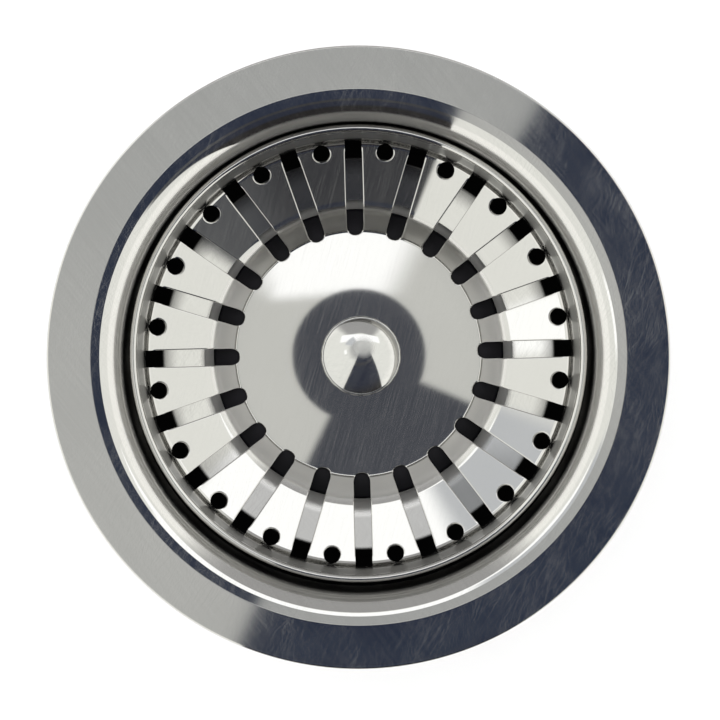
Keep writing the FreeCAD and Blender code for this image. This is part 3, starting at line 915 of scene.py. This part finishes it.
# %% other materials
def moulded(name, dark, light, rough, shine, cell, depth):
    """Moulded rubber or plastic: two close colours in soft clouds, and a fine grain from the mould."""
    material, shader, place = new_material(name)
    cloud, grain = place.noise(CLOUDS, 3.0), place.noise(1 / cell, 2.0, 0.6)
    feed(shader, Base_Color=(cloud * 0.7 + grain * 0.3).step(0.3, 0.7).mix(dark, light),
         Roughness=rough + grain * 0.12 + cloud * 0.08)
    shader.inputs["Specular IOR Level"].default_value = shine
    bump = {"Strength": 1.0, "Distance": 1.0, "Height": grain * depth}
    feed(shader, Normal=grain.make("ShaderNodeBump", None, bump))
    return material


rubber = moulded("rubber", (0.004, 0.004, 0.005), (0.010, 0.009, 0.012),
                 rough=0.45, shine=0.18, cell=0.00025, depth=8e-6)
plastic = moulded("plastic", (0.64, 0.64, 0.62), (0.71, 0.71, 0.69),
                  rough=0.38, shine=0.5, cell=0.0004, depth=6e-6)
nylon = moulded("nylon", (0.60, 0.58, 0.52), (0.68, 0.66, 0.60),
                rough=0.35, shine=0.5, cell=0.0003, depth=4e-6)
brass = steel("brass", (0.75, 0.56, 0.24), dull=0.2, haze=0.3, scuffs=0.1, grain_angle=20)
put_on(rubber, nodes["flange_seal"], nodes["body_seal"], nodes["stopper_seal"])
put_on(plastic, outlet)
put_on(nylon, nodes["screw_washer"], nodes["catch_sleeve"])
put_on(brass, nodes["threaded_insert"])

# %% [markdown]
# ## Studio
#
# Polished steel looks like what stands round it. The world is written as a function of the direction, in the
# plane that touches the sky at the zenith: u to the right and v up in the picture, and far for the distance
# from the zenith.

# %% directions in the sky
world = bpy.data.worlds.new("studio")
bpy.context.scene.world = world
world.use_nodes = True
tree = world.node_tree
tree.nodes.clear()
toward = Wire(tree, tree.nodes.new("ShaderNodeTexCoord").outputs["Generated"])
dx, dy, dz = toward.parts()
up = dz.most(0.02)
u, v = dx / up, dy / up
far = reach(u, v)


def half_plane(angle, offset, soft):
    """1 on the right-hand side of a line that points along an angle, offset to the right of the zenith."""
    cos, sin = math.cos(math.radians(angle)), math.sin(math.radians(angle))
    return (u * sin - v * cos).step(offset - soft, offset + soft)


def sector(start, end, soft):
    """1 between two azimuths less than half a turn apart, anticlockwise from u."""
    return half_plane(end, 0.0, soft) * half_plane(start + 180, 0.0, soft)


print("sky starts with", len(tree.nodes), "nodes")

# %% [markdown]
# The dark shapes are the lens at the zenith, a corner of the room below it, a wide wedge of dark room on the
# right, and a darker band in that wedge. Inside the wedge, the ring that the fins mirror is a little lighter.

# %% dark shapes
LENS_EDGE, CORNER_EDGE = (0.0555, 0.0590), (0.112, 0.118)
WEDGE_SIDE = 68
WEDGE_BEND, BAND_BEND, BAND_END = (0.20, 0.23), (0.155, 0.165), (0.21, 0.23)
FINS_START, FINS_END = (0.33, 0.35), (0.385, 0.42)

lens = far.fall(*LENS_EDGE)
low_corner = sector(-116, -23, 0.004) * far.fall(*CORNER_EDGE)
near_edge, far_edge = half_plane(-60, 0.0, 0.006), half_plane(-61.3, -0.165, 0.020)
bend = far.step(*WEDGE_BEND)
wedge = half_plane(WEDGE_SIDE, 0.0, 0.006) * (near_edge * (1 - bend) + far_edge * bend)
bend = far.step(*BAND_BEND)
band = half_plane(60.8, 0.015, 0.002) * (1 - bend) + half_plane(WEDGE_SIDE, 0.0, 0.004) * bend
band = band * far.step(*CORNER_EDGE) * far.fall(*BAND_END)
fins = far.step(*FINS_START) * far.fall(*FINS_END)
fins_front = sector(-58, -20, 0.06)
print("dark shapes done,", len(tree.nodes), "nodes")

# %% [markdown]
# The light shapes lie on the left and above: a large soft box, a small panel close to the lens, a cooler
# stretch of ceiling, a gleam low on the left, and a dimmer part of the room far above.

# %% light shapes
BOX_LOW, BOX_TOP, BOX_LEFT, BOX_RIGHT = (0.225, 0.245), (0.48, 0.52), (-0.60, -0.54), (0.60, 0.66)
PANEL_LOW, PANEL_TOP, PANEL_LEFT, PANEL_RIGHT = (0.045, 0.06), (0.11, 0.12), (-0.095, -0.07), (-0.02, 0.02)
PANEL_END = (0.108, 0.116)
COOL_START, COOL_END, GLEAM_START, GLEAM_END = (0.2, 0.3), (0.42, 0.46), (0.33, 0.36), (0.395, 0.42)
DIM_LOW, DIM_SIDES, DIM_START = (0.0, 0.12), (0.3, 1.1), (0.52, 0.58)

softbox = v.step(*BOX_LOW) * v.fall(*BOX_TOP) * u.step(*BOX_LEFT) * u.fall(*BOX_RIGHT)
panel = v.step(*PANEL_LOW) * v.fall(*PANEL_TOP) * u.step(*PANEL_LEFT)
panel = panel * (u - v * 0.5).fall(*PANEL_RIGHT) * far.fall(*PANEL_END)
cool = sector(118, 160, 0.03) * far.step(*COOL_START) * far.fall(*COOL_END)
gleam = sector(181, 198, 0.02) * far.step(*GLEAM_START) * far.fall(*GLEAM_END)
dim = v.step(*DIM_LOW) * (u * u / (v * v + 0.01)).fall(*DIM_SIDES) * far.step(*DIM_START)
print("light shapes done,", len(tree.nodes), "nodes")

# %% [markdown]
# The colours are laid over each other, light room first and dark room last. Only mirrors see this sky. The
# camera and soft surfaces see plain white.

# %% colours of the sky
CEILING_FRONT, CEILING_BACK, ZENITH = (0.68, 0.69, 0.68), (0.55, 0.565, 0.565), (0.88, 0.89, 0.86)
SIDES, HORIZON, DIM = (1.22, 1.23, 1.18), (1.42, 1.42, 1.37), (0.5, 0.5, 0.5)
BOX, COOL, GLEAM = (1.72, 1.74, 1.76), (0.80, 0.83, 0.87), (1.72, 1.74, 1.74)
DARK, DARK_FINS, DARK_FRONT = (0.030, 0.037, 0.062), (0.056, 0.058, 0.065), (0.12, 0.125, 0.135)
DARK_LOW, DARK_LENS, DARK_BAND = (0.027, 0.025, 0.026), (0.088, 0.095, 0.118), (0.030, 0.041, 0.076)
WHITE = (1.0, 1.0, 1.0)
CEILING_SPAN, ZENITH_EDGE = (-0.12, 0.14), (0.1, 0.125)
SIDES_START, HORIZON_START, LOW_START = (0.2, 0.36), (1.0, 1.4), (0.80, 1.30)

light = (v + u * 0.3).step(*CEILING_SPAN).mix(CEILING_FRONT, CEILING_BACK)
light = far.step(*ZENITH_EDGE).mix(ZENITH, light)
light = far.step(*SIDES_START).mix(light, SIDES)
light = far.step(*HORIZON_START).mix(light, HORIZON)
for shape, tone in ((dim, DIM), (softbox.most(panel), BOX), (cool, COOL), (gleam, GLEAM)):
    light = shape.mix(light, tone)
shade = fins.mix(DARK, fins_front.mix(DARK_FINS, DARK_FRONT))
shade = far.step(*LOW_START).mix(shade, DARK_LOW)
sky = wedge.mix(light, shade)
sky = lens.most(low_corner).mix(sky, DARK_LENS)
sky = band.mix(sky, DARK_BAND)
ray = tree.nodes.new("ShaderNodeLightPath")
camera_ray = Wire(tree, ray.outputs["Is Camera Ray"])
glossy_ray = Wire(tree, ray.outputs["Is Glossy Ray"])
colour = camera_ray.mix(glossy_ray.mix(WHITE, sky), WHITE)
background = colour.make("ShaderNodeBackground", None, {"Color": colour, "Strength": 1.0})
tree.links.new(background.socket, tree.nodes.new("ShaderNodeOutputWorld").inputs["Surface"])
print("sky done,", len(tree.nodes), "nodes")

# %% [markdown]
# The waste stands on a white floor, and one broad lamp overhead gives it a soft shadow. Mirrors don't see
# the lamp.

# %% floor and lamp
FLOOR = 2

floor_mesh = bpy.data.meshes.new("floor")
floor_mesh.from_pydata([(-FLOOR, -FLOOR, 0), (FLOOR, -FLOOR, 0), (FLOOR, FLOOR, 0), (-FLOOR, FLOOR, 0)],
                       [], [(0, 1, 2, 3)])
floor = bpy.data.objects.new("floor", floor_mesh)
bpy.context.scene.collection.objects.link(floor)
floor_material, floor_shader, place = new_material("floor")
feed(floor_shader, Base_Color=place.noise(3.0).mix((0.95, 0.95, 0.95), (0.97, 0.97, 0.97)))
floor_shader.inputs["Roughness"].default_value = 0.9
put_on(floor_material, floor)

key = bpy.data.lights.new("key", "AREA")
key.size, key.energy = 1.0, 6.0
lamp = bpy.data.objects.new("key", key)
lamp.location = (-0.12, 0.16, 1.3)
lamp.rotation_euler = (math.radians(-7), math.radians(-5), 0)
lamp.visible_glossy = False
bpy.context.scene.collection.objects.link(lamp)

# %% [markdown]
# ## Camera
#
# The photo looks straight down on the waste, with the flange filling most of the frame.

# %% camera and finish
camera = bpy.data.cameras.new("camera")
camera.lens, camera.sensor_width = 179.65, 36.0
camera.clip_start = 0.01
view = bpy.data.objects.new("camera", camera)
view.location = (0.00027, -0.00051, 0.7375)
bpy.context.scene.collection.objects.link(view)
bpy.context.scene.camera = view
bpy.context.scene.view_settings.view_transform = "Standard"
